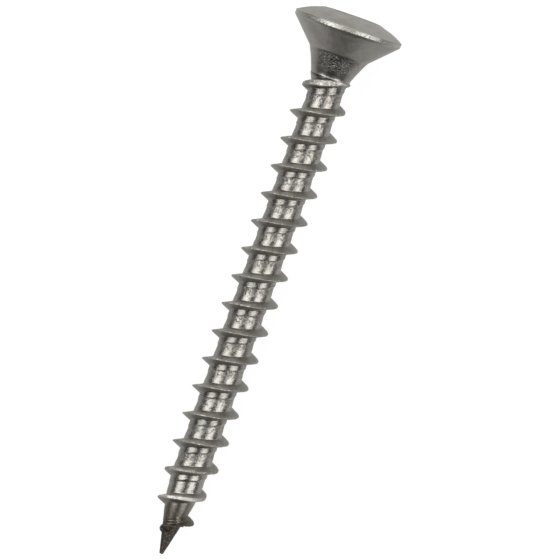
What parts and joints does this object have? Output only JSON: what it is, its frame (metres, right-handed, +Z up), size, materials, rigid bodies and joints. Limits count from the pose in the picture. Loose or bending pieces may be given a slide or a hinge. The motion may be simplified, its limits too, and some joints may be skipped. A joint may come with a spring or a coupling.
{
  "type": "multi-purpose wood screw",
  "caption": "Wood and board screw with a raised countersunk head, a six-lobe socket, a conical neck and one coarse thread that runs almost to its point.",
  "frame": {"origin": "on the surface that the screw lies on, under the middle of its box", "axes": "+X along the screw's length towards its head, +Z up from the surface; the screw's own axis rises 3.6 degrees towards the head, because it lies on the edge of the head and on its thread"},
  "size_m": [0.0512, 0.0098, 0.0099],
  "materials": {
    "stainless_steel": "satin stainless steel as rolled, with rough bands along the groove and a dark point"
  },
  "bodies": {
    "root": {"screw": "stainless_steel"}
  },
  "joints": []
}
